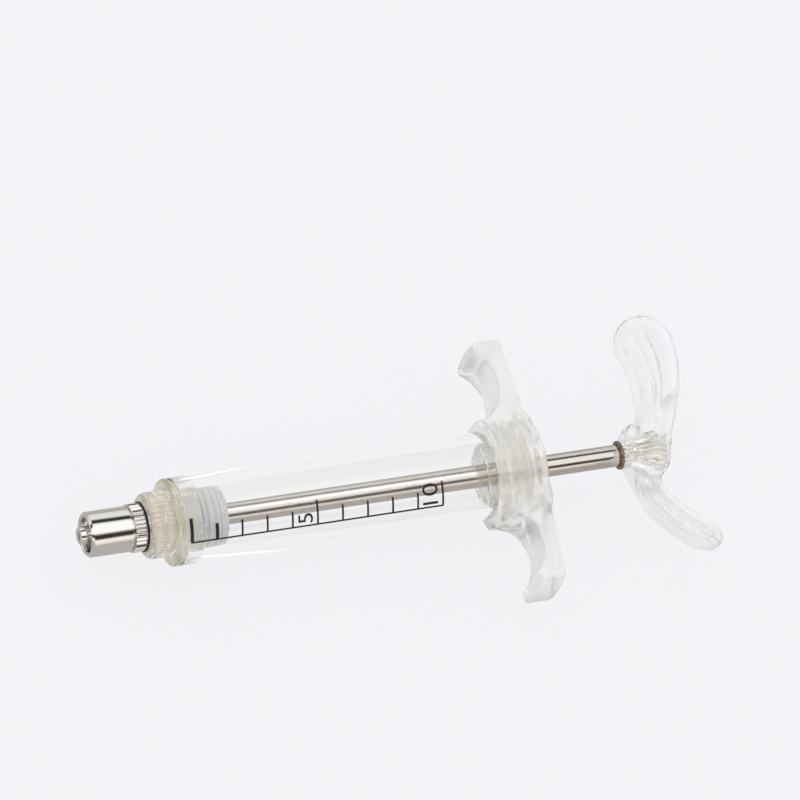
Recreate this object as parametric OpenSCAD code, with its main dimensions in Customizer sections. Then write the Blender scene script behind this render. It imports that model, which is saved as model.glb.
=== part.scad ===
// Reusable 10 ml syringe: a metal luer-lock nozzle, a clear barrel between two screwed
// caps, a steel plunger rod with a sealed piston, finger wings and a curved palm handle.
// Millimetres. +X runs along the axis from the nozzle tip (x = 0) to the handle,
// +Y along the upper finger wing, +Z up.

/* [Barrel] */
// Outside diameter of the barrel
barrel_d = 20; // [19.8:0.1:20.4]
// Diameter of the barrel's bore
bore_d = 14.52; // [14.4:0.02:14.7]
// Length of the barrel tube
barrel_len = 82.3; // [81:0.1:83]
// Length of the printed 10 ml scale, which is also the plunger's stroke
stroke = 60.4; // [58:0.1:60.6]
// Radial clearance in the screw threads, modelled as plain cylinders
thread_gap = 0.1; // [0.05:0.01:0.1]

/* [Nozzle] */
// Diameter of the luer cone at its tip
luer_tip_d = 3.95; // [3.9:0.01:4]
// Growth of the luer cone's diameter for each millimetre of length
luer_taper = 0.06; // [0.055:0.001:0.065]
// Diameter of the fluid passage at the tip
passage_d = 1.8; // [1.4:0.1:2.2]
// Outside diameter of the lock collar
collar_d = 10.4; // [10:0.1:10.8]
// Diameter of the collar's threaded hollow
collar_bore_d = 8; // [7.9:0.05:8.1]
// How far the cone stands out of the collar
tip_reach = 1.5; // [1.2:0.1:2]
// Length of the collar
collar_len = 10.1; // [9.5:0.1:10.1]
// Outside diameter of the knurled grip ring
knurl_d = 11.1; // [10.8:0.1:11.4]
// Number of flutes around the knurled ring
knurl_teeth = 32; // [24:1:40]

/* [Front cap] */
// Diameter of the cap's boss
boss_d = 15.1; // [14.6:0.1:15.6]
// Diameter of the cap's flange
flange_d = 19.9; // [19.5:0.1:19.9]
// Thickness of the flange
flange_t = 1.2; // [1:0.1:1.2]
// Depth that the cap screws into the barrel
plug_len = 4.4; // [4:0.1:4.4]
// Outside diameter of the brass insert in the boss
cap_insert_d = 9.4; // [9:0.1:9.8]

/* [Plunger] */
// Diameter of the plunger rod
rod_d = 5; // [4.8:0.1:5]
// Diameter of the piston's plates
plate_d = 13.8; // [13.4:0.1:14]
// Diameter of the piston's nose, which enters the hollow front cap
nose_d = 11.4; // [11:0.1:11.4]
// Running clearance around the piston seal, on the radius
seal_gap = 0.05; // [0.03:0.01:0.08]

/* [Grip] */
// Diameter of the grip cap without its ribs
grip_d = 22.8; // [22.4:0.1:23.2]
// Height of each rib above the cap
rib_h = 0.55; // [0.4:0.05:0.6]
// Distance from one rib to the next
rib_pitch = 2; // [1.8:0.1:2]
// Number of ribs
rib_count = 5; // [4:1:5]
// Radius of the wings' tips about the syringe's axis
wing_r = 30.3; // [28:0.1:32]
// Width of a wing at its root
wing_root_w = 11; // [10:0.5:12]
// Width of a wing at its tip
wing_tip_w = 15; // [13:0.5:16]
// Radius of the finger hollow in a wing's front face
finger_r = 10.4; // [9.5:0.1:10.6]

/* [Handle] */
// Reach of the upper lobe from the axis
upper_reach = 29.8; // [28:0.1:32]
// Reach of the lower lobe from the axis
lower_reach = 26.1; // [25:0.1:29]
// How far the upper lobe's tip rises above the axis
upper_rise = 6; // [4:0.5:7]
// How far the lower lobe's tip rises above the axis
lower_rise = 3; // [1:0.5:4]
// Half the width of a lobe across its palm face, at the hub
lobe_half_w = 7; // [6:0.1:7.5]
// Half the thickness of a lobe
lobe_half_t = 2.9; // [2.5:0.1:3.2]
// Outside diameter of the brass insert in the hub
handle_insert_d = 6.4; // [6.2:0.1:6.6]

/* [Hidden] */
$fn = 96;
overlap = 0.5;

// Stations along the axis
collar_x = tip_reach;
collar_end = collar_x + collar_len;
knurl_x = collar_end + 0.3;
knurl_end = knurl_x + 2.7;
gasket_end = knurl_end + 0.4;
washer_end = gasket_end + 0.4;
boss_x = washer_end;
flange_x = boss_x + 5.7;
flange_end = flange_x + flange_t;
seal_t = 0.4;
barrel_x = flange_end + seal_t;
plug_end = barrel_x + plug_len;
barrel_end = barrel_x + barrel_len;
rear_seal_end = barrel_end + 0.5;
grip_x = barrel_end - 7.6;
grip_end = rear_seal_end + 3.9;
grip_plug_x = grip_x - 1.4;
grip_cup_d = 12;

// Nozzle: seat inside the collar, then the threaded shank
seat_x = collar_end - 2.4;
shank_d = 6;
shank_end = flange_end - 0.4;
well_d = 3;

// Barrel threads
front_thread_d = 15.5;
rear_thread_d = 19.6;
plug_d = front_thread_d - 2 * thread_gap;
cup_d = 12;
cup_x = flange_end + 0.3;

// Piston stations
nose_x = barrel_x + 0.6;
plate_x = plug_end + 0.5;
plate_t = 1;
seal_x = plate_x + plate_t;
seal_len = 3;
rear_plate_x = seal_x + seal_len;
rear_plate_end = rear_plate_x + 2.1;
spigot_d = 4;
hub_r = 4.45;
nut_x = nose_x + 0.3;
nut_len = 2.2;
nut_well_d = 9;

// Rod and handle stations
ferrule_x = rear_plate_end + 96;
ferrule_len = 0.9;
handle_x = ferrule_x + ferrule_len;
handle_insert_len = 9.4;
hub_len = 11;
hub_end = handle_x + hub_len;

// Finger wings
wing_back_x = grip_end;
wing_sweep = 1.9;
finger_x = grip_x - 3.1;
finger_y = 19.6;
wing_tip_lead = 6.8;

// Handle lobes: rings and sides of each lofted solid
lobe_rings = 18;
lobe_sides = 24;
lobe_start = 0.14;
lobe_round = 0.78;

// A cylinder along X from x0 to x1
module round_x(x0, x1, d)
    translate([x0, 0, 0])
        rotate([0, 90, 0])
            cylinder(h = x1 - x0, d = d);

// A cone along X
module cone_x(x0, x1, d0, d1)
    translate([x0, 0, 0])
        rotate([0, 90, 0])
            cylinder(h = x1 - x0, d1 = d0, d2 = d1);

// A plain ring along X
module ring_x(x0, x1, outer, inner)
    difference() {
        round_x(x0, x1, outer);
        round_x(x0 - overlap, x1 + overlap, inner);
    }

// A disc along X whose front edge is rounded by r
module soft_disc_x(x0, x1, d, r)
    union() {
        round_x(x0 + r, x1, d);
        round_x(x0, x1, d - 2 * r);
        torus_x(x0 + r, d / 2 - r, r);
    }

// A torus about the X axis
module torus_x(x, ring_r, wire_r)
    translate([x, 0, 0])
        rotate([0, 90, 0])
            rotate_extrude()
                translate([ring_r, 0])
                    circle(r = wire_r);

// Points of a fluted outline: flat-topped teeth on a round
function flutes(r, depth, teeth) = [
    for (i = [0 : teeth - 1], k = [0 : 3])
        let (a = (i + [0, 0.4, 0.5, 0.9][k]) * 360 / teeth, rr = k < 2 ? r : r - depth)
            [rr * cos(a), rr * sin(a)]
];

// A straight-knurled cylinder along X
module knurl_x(x0, x1, d, depth, teeth)
    translate([x0, 0, 0])
        rotate([0, 90, 0])
            linear_extrude(height = x1 - x0)
                polygon(flutes(d / 2, depth, teeth));

// Turned nozzle: luer cone, seat, knurled ring and threaded shank with its passage
module nozzle() {
    cone_len = seat_x;
    color("silver")
        difference() {
            union() {
                cone_x(0, cone_len, luer_tip_d, luer_tip_d + luer_taper * cone_len);
                round_x(seat_x, collar_end, collar_bore_d);
                round_x(collar_end, knurl_x, knurl_d - 1.8);
                knurl_x(knurl_x, knurl_end, knurl_d, 0.35, knurl_teeth);
                round_x(knurl_end, shank_end, shank_d);
            }
            round_x(-overlap, seat_x + overlap, passage_d);
            round_x(seat_x, shank_end + overlap, well_d);
        }
}

// Lock collar: a sleeve with a chamfered mouth and two thread crests inside
module lock_collar() {
    chamfer = 0.6;
    crest_h = 0.45;
    color("silver")
        union() {
            difference() {
                union() {
                    cone_x(collar_x, collar_x + chamfer, collar_d - 2 * chamfer, collar_d);
                    round_x(collar_x + chamfer, collar_end, collar_d);
                }
                round_x(collar_x - overlap, collar_end + overlap, collar_bore_d);
            }
            for (x = [collar_x + 0.7, collar_x + 3.2])
                ring_x(x, x + 0.7, collar_bore_d + 0.1, collar_bore_d - 2 * crest_h);
        }
}

// Black sealing ring under the knurled ring
module nozzle_gasket()
    color("black")
        ring_x(knurl_end, gasket_end, 11.5, shank_d);

// Thin metal washer on the front cap's face
module nozzle_washer()
    color("gainsboro")
        ring_x(gasket_end, washer_end, 11.9, shank_d);

// Front cap: boss, flange and the hollow plug that screws into the barrel
module front_cap()
    color("lemonchiffon", 0.8)
        difference() {
            union() {
                soft_disc_x(boss_x, flange_x + overlap, boss_d, 1.2);
                soft_disc_x(flange_x, flange_end, flange_d, 0.5);
                round_x(flange_end, plug_end, plug_d);
            }
            round_x(boss_x - overlap, shank_end, cap_insert_d);
            round_x(shank_end - overlap, cup_x + overlap, shank_d);
            round_x(cup_x, plug_end + overlap, cup_d);
        }

// Knurled brass insert moulded into the front cap
module cap_insert()
    color("darkgoldenrod")
        difference() {
            knurl_x(boss_x, shank_end, cap_insert_d, 0.3, 28);
            round_x(boss_x - overlap, shank_end + overlap, shank_d);
        }

// Flat ring between the front cap's flange and the barrel
module front_seal()
    color("burlywood")
        ring_x(flange_end, barrel_x, flange_d - 0.7, plug_d + 0.1);

// Clear barrel, threaded inside at the front and outside at the rear
module barrel()
    color("azure", 0.4)
        difference() {
            union() {
                round_x(barrel_x, grip_x - 0.2, barrel_d);
                round_x(grip_x - 0.2 - overlap, barrel_end, rear_thread_d);
            }
            round_x(barrel_x - overlap, barrel_end + overlap, bore_d);
            round_x(barrel_x - overlap, plug_end + 0.3, front_thread_d);
        }

// Flat ring between the barrel's rear end and the grip cap
module rear_seal()
    color("burlywood")
        ring_x(barrel_end, rear_seal_end, rear_thread_d - 0.4, bore_d + 0.3);

// One finger wing on the +Y side
module wing() {
    tip_half = wing_tip_w / 2;
    root_half = wing_root_w / 2;
    intersection() {
        difference() {
            linear_extrude(height = wing_tip_w + 2, center = true)
                polygon([
                    [grip_x + 0.6, grip_d / 2 - 1.2],
                    [wing_back_x, grip_d / 2 - 1.2],
                    [wing_back_x - wing_sweep, wing_r + 1],
                    [finger_x + wing_tip_lead, wing_r + 1],
                    [finger_x + wing_tip_lead, finger_y + 7],
                    [grip_x + 0.6, finger_y - 7]
                ]);
            translate([finger_x, finger_y, 0])
                cylinder(h = wing_tip_w + 4, r = finger_r, center = true);
        }
        translate([grip_plug_x, 0, 0])
            rotate([0, 90, 0])
                intersection() {
                    linear_extrude(height = 20)
                        polygon([
                            [-root_half, 8], [root_half, 8],
                            [tip_half, wing_r + 1], [-tip_half, wing_r + 1]
                        ]);
                    cylinder(h = 20, r = wing_r);
                }
    }
}

// Grip cap: ribbed skirt screwed on the barrel, a hollow inner plug, an end wall and two wings
module grip_cap()
    color("aliceblue", 0.6)
        difference() {
            union() {
                round_x(grip_x, grip_end, grip_d);
                for (i = [0 : rib_count - 1])
                    torus_x(grip_x + 1 + i * rib_pitch, grip_d / 2 + rib_h - 0.8, 0.8);
                wing();
                mirror([0, 1, 0])
                    wing();
                round_x(grip_plug_x, grip_x + overlap, bore_d - 0.3);
            }
            difference() {
                round_x(grip_x - overlap, rear_seal_end, rear_thread_d + 2 * thread_gap);
                round_x(grip_x - 2 * overlap, rear_seal_end + overlap, bore_d - 0.3);
            }
            round_x(rear_seal_end - 1.6, grip_end + overlap, 8);
            round_x(grip_plug_x - overlap, rear_seal_end - 2.9, grip_cup_d);
            round_x(grip_plug_x - overlap, grip_end, rod_d + 0.6);
        }

// Bush that guides the rod through the grip cap's end wall
module rod_guide()
    color("ghostwhite")
        ring_x(rear_seal_end + 0.2, grip_end, 8, rod_d + 0.1);

// Soft wiper ring in front of the bush
module guide_seal()
    color("dimgray")
        ring_x(rear_seal_end - 1.6, rear_seal_end + 0.2, 8, rod_d + 0.1);

// Front plate of the piston with its nose and the hub that carries the seal
module piston_front()
    color("whitesmoke", 0.8)
        difference() {
            union() {
                soft_disc_x(nose_x, plate_x + overlap, nose_d, 0.8);
                round_x(plate_x, seal_x, plate_d);
                round_x(seal_x - overlap, rear_plate_x, 2 * hub_r);
            }
            round_x(nose_x - overlap, nut_x + nut_len, nut_well_d);
            round_x(nut_x, rear_plate_x + overlap, spigot_d);
        }

// Seal ring that slides in the bore
module piston_seal()
    color("lightgray")
        ring_x(seal_x + 0.05, rear_plate_x - 0.05, bore_d - 2 * seal_gap, 2 * hub_r + 0.1);

// Rear plate of the piston
module piston_rear()
    color("whitesmoke", 0.8)
        ring_x(rear_plate_x, rear_plate_end, plate_d, rod_d);

// Hex nut that clamps the piston on the rod's end
module piston_nut()
    color("silver")
        difference() {
            translate([nut_x, 0, 0])
                rotate([0, 90, 0])
                    cylinder(h = nut_len, d = 8, $fn = 6);
            round_x(nut_x - overlap, nut_x + nut_len + overlap, spigot_d);
        }

// Steel rod with a spigot at each end
module plunger_rod()
    color("silver")
        union() {
            round_x(nut_x, rear_plate_x + overlap, spigot_d);
            round_x(rear_plate_x, handle_x, rod_d);
            round_x(handle_x - overlap, handle_x + handle_insert_len - 0.8, spigot_d);
        }

// Brass ferrule at the handle's mouth
module rod_ferrule()
    color("darkgoldenrod")
        ring_x(ferrule_x, handle_x, handle_insert_d + 0.2, rod_d);

// Knurled brass insert moulded into the handle's hub
module handle_insert()
    color("darkgoldenrod")
        difference() {
            knurl_x(handle_x, handle_x + handle_insert_len, handle_insert_d, 0.25, 20);
            round_x(handle_x - overlap, handle_x + handle_insert_len + overlap, spigot_d);
        }

function unit(v) = v / norm(v);

// Centre of a lobe at u from 0 (axis) to 1 (tip); back holds the sweep's coefficients
function lobe_centre(u, side, reach, rise, back) = [
    handle_x + back[0] + back[1] * u + back[2] * u * u + back[3] * u * u * u,
    side * reach * u,
    rise * u * u
];

// One ring of a lobe: an ellipse across the lobe's path, turned about it by the twist
function lobe_ring(u, side, reach, rise, back, twist, spread) =
    let (
        step = 0.01,
        c = lobe_centre(u, side, reach, rise, back),
        ahead = lobe_centre(u + step, side, reach, rise, back),
        behind = lobe_centre(u - step, side, reach, rise, back),
        along = unit(ahead - behind),
        turn = twist[0] + twist[1] * u,
        lean = [sin(turn), 0, cos(turn)],
        wide = unit(lean - (lean * along) * along),
        thick = cross(along, wide),
        tail = max(0, (u - lobe_round) / (1 - lobe_round)),
        cap = sqrt(max(0, 1 - tail * tail)),
        half_w = (lobe_half_w + spread * u) * cap,
        half_t = lobe_half_t * cap
    )
    [
        for (i = [0 : lobe_sides - 1])
            let (a = i * 360 / lobe_sides)
                c + half_w * cos(a) * wide + half_t * sin(a) * thick
    ];

// Ring positions, closer together towards the rounded tip
function lobe_u(i) =
    let (f = i / (lobe_rings - 1))
        lobe_start + (0.995 - lobe_start) * sin(90 * f);

// A lofted lobe, closed at each end by a fan about a centre point
module lobe(side, reach, rise, back, twist, spread) {
    n = lobe_sides;
    rings = [
        for (i = [0 : lobe_rings - 1])
            lobe_ring(lobe_u(i), side, reach, rise, back, twist, spread)
    ];
    points = concat(
        [for (ring = rings, p = ring) p],
        [
            lobe_centre(lobe_u(0), side, reach, rise, back),
            lobe_centre(1, side, reach, rise, back)
        ]
    );
    root = lobe_rings * n;
    last = (lobe_rings - 1) * n;
    walls = [
        for (i = [0 : lobe_rings - 2], k = [0 : n - 1])
            let (a = i * n + k, b = i * n + (k + 1) % n)
                for (f = [[a, b, b + n], [a, b + n, a + n]]) f
    ];
    root_fan = [for (k = [0 : n - 1]) [root, (k + 1) % n, k]];
    tip_fan = [for (k = [0 : n - 1]) [root + 1, last + k, last + (k + 1) % n]];
    polyhedron(points = points, faces = concat(walls, root_fan, tip_fan), convexity = 4);
}

// Hub of the palm handle, bored for its insert
module handle_hub()
    color("aliceblue", 0.6)
        difference() {
            union() {
                cone_x(handle_x, handle_x + 5, 8.4, 12);
                round_x(handle_x + 5, hub_end - 1.5, 12);
                cone_x(hub_end - 1.5, hub_end, 12, 9.4);
            }
            round_x(handle_x - overlap, handle_x + handle_insert_len, handle_insert_d);
        }

// Upper lobe of the palm handle, grown into the hub
module upper_lobe()
    color("aliceblue", 0.6)
        lobe(1, upper_reach, upper_rise, [7.3, 15.1, -3.9, -10.4], [17.4, 6.6], 1.9);

// Lower lobe of the palm handle, swept further back
module lower_lobe()
    color("aliceblue", 0.6)
        lobe(-1, lower_reach, lower_rise, [4.2, -7.2, 20.4, -1.1], [-36, -31], 1.1);

nozzle();
lock_collar();
nozzle_gasket();
nozzle_washer();
front_cap();
cap_insert();
front_seal();
barrel();
rear_seal();
grip_cap();
rod_guide();
guide_seal();
piston_front();
piston_seal();
piston_rear();
piston_nut();
plunger_rod();
rod_ferrule();
handle_insert();
handle_hub();
upper_lobe();
lower_lobe();
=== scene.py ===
"""Looks of a reusable 10 ml luer-lock syringe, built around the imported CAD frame.

Shapes are worked out in millimetres along the syringe's axis (x, with r the distance from it) and
turned into metres when a mesh is made. Stations come from the boxes of the CAD nodes.
"""
import math

import bpy
import numpy as np
from mathutils import Matrix, Vector


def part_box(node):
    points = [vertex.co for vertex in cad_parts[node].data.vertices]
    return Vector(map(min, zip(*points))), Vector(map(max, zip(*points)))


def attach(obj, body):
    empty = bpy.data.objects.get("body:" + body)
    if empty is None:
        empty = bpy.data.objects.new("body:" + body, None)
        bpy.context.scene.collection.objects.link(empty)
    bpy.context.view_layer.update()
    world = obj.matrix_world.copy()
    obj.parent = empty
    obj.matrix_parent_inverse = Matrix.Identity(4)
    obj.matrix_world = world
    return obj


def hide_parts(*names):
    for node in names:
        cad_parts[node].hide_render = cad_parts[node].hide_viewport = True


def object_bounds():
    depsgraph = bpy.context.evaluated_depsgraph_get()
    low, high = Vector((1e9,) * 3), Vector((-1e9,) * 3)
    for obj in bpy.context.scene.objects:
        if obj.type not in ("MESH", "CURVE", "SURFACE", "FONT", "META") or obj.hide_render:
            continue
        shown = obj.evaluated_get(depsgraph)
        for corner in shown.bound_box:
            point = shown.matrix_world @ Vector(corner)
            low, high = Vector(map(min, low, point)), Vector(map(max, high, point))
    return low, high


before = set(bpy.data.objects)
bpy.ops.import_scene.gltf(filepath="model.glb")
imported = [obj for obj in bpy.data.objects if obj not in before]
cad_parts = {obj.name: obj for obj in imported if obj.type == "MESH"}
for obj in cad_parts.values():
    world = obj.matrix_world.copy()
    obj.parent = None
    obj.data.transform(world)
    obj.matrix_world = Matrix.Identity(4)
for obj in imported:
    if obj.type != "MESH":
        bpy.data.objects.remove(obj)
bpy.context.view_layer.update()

MM = 0.001
SIDES = 96
NUDGE = 0.02    # keeps a face out of the plane of the neighbour that it touches


# ---------------------------------------------------------------- stations from the frame

def span(node):
    """First and last station of a CAD node on the axis, and its outer radius, in millimetres."""
    low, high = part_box(node)
    return low[0] / MM, high[0] / MM, high[2] / MM


# ---------------------------------------------------------------- mesh helpers

def piece(name, verts, faces, material, body, replaces=(), smooth=True, sharp_deg=35):
    """A mesh object from millimetre vertices, riding on a body and standing for CAD nodes."""
    mesh = bpy.data.meshes.new(name)
    places = [tuple(v) for v in np.asarray(verts, float) * MM]
    mesh.from_pydata(places, [], [list(f) for f in faces])
    mesh.validate()
    mesh.materials.append(material)
    obj = bpy.data.objects.new(name, mesh)
    bpy.context.scene.collection.objects.link(obj)
    if smooth:
        mesh.shade_smooth()
        mesh.set_sharp_from_angle(angle=math.radians(sharp_deg))
    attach(obj, body)
    for node in replaces:
        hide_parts(node)


def rounded(points, steps=5):
    """A closed (x, r) outline with each corner rounded by its third number, a radius."""
    out = []
    count = len(points)
    for i, (x, r, fillet) in enumerate(points):
        here = np.array([x, r])
        if fillet <= 0:
            out.append(here)
            continue
        before = np.array(points[i - 1][:2]) - here
        after = np.array(points[(i + 1) % count][:2]) - here
        len_b, len_a = np.linalg.norm(before), np.linalg.norm(after)
        before, after = before / len_b, after / len_a
        half = math.acos(np.clip(before @ after, -1, 1)) / 2
        reach = min(fillet / math.tan(half), 0.48 * len_b, 0.48 * len_a)
        radius = reach * math.tan(half)
        middle = here + (before + after) / np.linalg.norm(before + after) * radius / math.sin(half)
        start, end = here + before * reach - middle, here + after * reach - middle
        turn = math.atan2(start[0] * end[1] - start[1] * end[0], start @ end)
        for k in range(steps + 1):
            a = turn * k / steps
            out.append(middle + [start[0] * math.cos(a) - start[1] * math.sin(a),
                                 start[0] * math.sin(a) + start[1] * math.cos(a)])
    return out


def lathe(outline, sides=SIDES, relief=None):
    """Turns a closed (x, r) outline about the axis. relief(x, r, angle) moves a point outwards."""
    outline = np.array(outline, float)
    count = len(outline)
    verts = []
    for k in range(sides):
        a = 2 * math.pi * k / sides
        for x, r in outline:
            rr = r + relief(x, r, a) if relief else r
            verts.append((x, rr * math.cos(a), rr * math.sin(a)))
    faces = []
    for k in range(sides):
        n = (k + 1) % sides
        for i in range(count):
            j = (i + 1) % count
            faces.append((k * count + i, k * count + j, n * count + j, n * count + i))
    area = sum(p[0] * q[1] - q[0] * p[1] for p, q in zip(outline, np.roll(outline, -1, axis=0)))
    if area < 0:
        faces = [f[::-1] for f in faces]
    return verts, faces


def ring(x0, x1, outer, inner, soft):
    """Outline of a plain ring with softened corners."""
    return rounded([(x0, inner, soft), (x0, outer, soft), (x1, outer, soft), (x1, inner, soft)], 3)


def fill_line(outline, r_at, step):
    """Adds points, step apart, to the outline's edges that lie at radius r_at."""
    out = []
    for p, q in zip(outline, outline[1:] + outline[:1]):
        out.append(p)
        flat = abs(p[1] - r_at) < 1e-6 and abs(q[1] - r_at) < 1e-6
        if flat and abs(q[0] - p[0]) > step:
            pieces = int(abs(q[0] - p[0]) / step)
            out += [p + (q - p) * k / pieces for k in range(1, pieces)]
    return out


def helix(x0, x1, pitch, depth, at_r, starts=1):
    """Relief of a screw thread between two stations on the surface at radius at_r."""
    def relief(x, r, a):
        if abs(r - at_r) > 1e-4 or not x0 < x < x1:
            return 0.0
        fade = min(1.0, (x - x0) / pitch, (x1 - x) / pitch)
        phase = (x / pitch - starts * a / (2 * math.pi)) % 1.0
        return depth * fade * (1 - abs(2 * phase - 1)) ** 0.8
    return relief


def flutes(x0, x1, depth, teeth, at_r):
    """Relief of straight knurling between two stations, near the surface at radius at_r."""
    def relief(x, r, a):
        if r < at_r - 0.4 or not x0 - 1e-6 <= x <= x1 + 1e-6:
            return 0.0
        return -depth * (0.5 - 0.5 * math.cos(teeth * a)) ** 1.5
    return relief


# ---------------------------------------------------------------- moulded shapes from fields

def smooth_min(a, b, k):
    """Smaller of two fields, blended over k millimetres."""
    h = np.clip(0.5 + 0.5 * (b - a) / k, 0, 1)
    return b + (a - b) * h - k * h * (1 - h)


def smooth_max(a, b, k):
    """Larger of two fields, blended over k millimetres."""
    return -smooth_min(-a, -b, k)


def turned_bar(x, r, x0, x1, radius, soft):
    """Field of a cylinder on the axis with rounded ends."""
    dx = np.abs(x - (x0 + x1) / 2) - (x1 - x0) / 2 + soft
    dr = r - radius + soft
    return np.minimum(np.maximum(dx, dr), 0) + np.hypot(np.maximum(dx, 0), np.maximum(dr, 0)) - soft


def moulded(field, low, high, step):
    """A closed quad mesh of the field's zero surface: one vertex a cell, drawn onto the surface."""
    axes = [np.arange(a, b + step, step) for a, b in zip(low, high)]
    grid = np.stack(np.meshgrid(*axes, indexing="ij"), -1)
    inside = (field(grid.reshape(-1, 3)) < 0).reshape(grid.shape[:3])
    nx, ny, nz = (n - 1 for n in inside.shape)
    corners = [inside[i:nx + i, j:ny + j, k:nz + k] for i in (0, 1) for j in (0, 1) for k in (0, 1)]
    count = sum(c.astype(int) for c in corners)
    mixed = (count > 0) & (count < 8)
    index = -np.ones(mixed.shape, int)
    index[mixed] = np.arange(mixed.sum())
    verts = grid[:-1, :-1, :-1][mixed] + step / 2
    faces = []
    for axis in range(3):
        others = [a for a in range(3) if a != axis]
        moved = np.moveaxis(inside, [axis] + others, [0, 1, 2])
        cells = np.moveaxis(index, [axis] + others, [0, 1, 2])
        change = moved[:-1, 1:-1, 1:-1] != moved[1:, 1:-1, 1:-1]
        i, j, k = np.nonzero(change)
        quad = np.stack([cells[i, j, k], cells[i, j + 1, k],
                         cells[i, j + 1, k + 1], cells[i, j, k + 1]], -1)
        outward = moved[:-1, 1:-1, 1:-1][i, j, k]
        if axis == 1:
            outward = ~outward
        quad[~outward] = quad[~outward][:, ::-1]
        faces.append(quad)
    faces = np.concatenate(faces)
    tiny = step * 0.02
    for _ in range(6):
        value = field(verts)
        rises = [field(verts + d) - field(verts - d) for d in np.eye(3) * tiny]
        slope = np.stack(rises, -1) / (2 * tiny)
        move = slope * (value / np.maximum((slope ** 2).sum(1), 0.05))[:, None]
        reach = np.linalg.norm(move, axis=1)[:, None]
        verts = verts - move * np.minimum(1, step / np.maximum(reach, 1e-9))
    return verts, faces


# ---------------------------------------------------------------- materials

class Nodes:
    """A material's node tree with short calls to add and join nodes."""

    def __init__(self, name):
        self.material = bpy.data.materials.new(name)
        self.material.use_nodes = True
        self.tree = self.material.node_tree
        self.tree.nodes.clear()
        self.out = self.tree.nodes.new("ShaderNodeOutputMaterial")

    def add(self, kind, **values):
        node = self.tree.nodes.new(kind)
        for key, value in values.items():
            setattr(node, key, value)
        return node

    def join(self, source, output, target, name):
        self.tree.links.new(source.outputs[output], target.inputs[name])

    def coords(self, scale):
        """The point in the object's own frame, in metres, stretched by scale."""
        place = self.add("ShaderNodeTexCoord")
        mapping = self.add("ShaderNodeMapping")
        mapping.inputs["Scale"].default_value = scale
        self.join(place, "Object", mapping, "Vector")
        return mapping

    def noise(self, scale, stretch, detail):
        node = self.add("ShaderNodeTexNoise")
        node.inputs["Scale"].default_value = scale
        node.inputs["Detail"].default_value = detail
        node.inputs["Roughness"].default_value = 0.55
        self.join(self.coords(stretch), "Vector", node, "Vector")
        return node

    def ramp(self, source, output, low, high):
        """Maps 0..1 to low..high."""
        node = self.add("ShaderNodeMapRange")
        node.inputs["To Min"].default_value = low
        node.inputs["To Max"].default_value = high
        self.join(source, output, node, "Value")
        return node

    def tint(self, source, output, dark, light):
        """Maps 0..1 to a colour between dark and light."""
        node = self.add("ShaderNodeMix", data_type="RGBA")
        for socket, colour in zip(self.colours(node.inputs), (dark, light)):
            socket.default_value = (*colour, 1)
        self.join(source, output, node, "Factor")
        return node

    def tint_out(self, node):
        return self.colours(node.outputs)[0]

    def colours(self, sockets):
        return [s for s in sockets if s.type == "RGBA"]

    def outwards(self, start, end, low=0.0, high=1.0):
        """Maps low..high over the distance from the syringe's axis between start and end."""
        across = self.coords((0, 1, 1))
        radius = self.add("ShaderNodeVectorMath", operation="LENGTH")
        self.join(across, "Vector", radius, "Vector")
        share = self.ramp(radius, "Value", low, high)
        share.inputs["From Min"].default_value = start
        share.inputs["From Max"].default_value = end
        return share

    def rim_tint(self, surface, start, end, colour):
        """Fades the surface's colour into another between two distances from the axis, as a thick
        rim gathers it."""
        mix = self.tint(self.outwards(start, end), "Result", (1, 1, 1), colour)
        self.tree.links.new(surface, self.colours(mix.inputs)[0])
        return self.tint_out(mix)

    def bump(self, source, output, distance, strength):
        node = self.add("ShaderNodeBump")
        node.inputs["Distance"].default_value = distance
        node.inputs["Strength"].default_value = strength
        self.join(source, output, node, "Height")
        return node


MARK_HEIGHT = 0.000004      # of tool marks and flow marks, in metres
SHADOW_SHARE = 0.85         # of the light on a clear part, what reaches the things it shades


def metal(name, dark, light, rough, grain):
    """Turned or drawn metal: fine tool marks in colour, roughness and bump."""
    n = Nodes(name)
    shader = n.add("ShaderNodeBsdfPrincipled")
    shader.inputs["Metallic"].default_value = 1.0
    marks = n.noise(900, grain, 4.0)
    cloud = n.noise(120, (1, 1, 1), 2.0)
    colour = n.tint(marks, "Fac", dark, light)
    n.tree.links.new(n.tint_out(colour), shader.inputs["Base Color"])
    n.join(n.ramp(cloud, "Fac", rough[0], rough[1]), "Result", shader, "Roughness")
    n.join(n.bump(marks, "Fac", MARK_HEIGHT, 0.6), "Normal", shader, "Normal")
    n.join(shader, "BSDF", n.out, "Surface")
    return n.material


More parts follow.
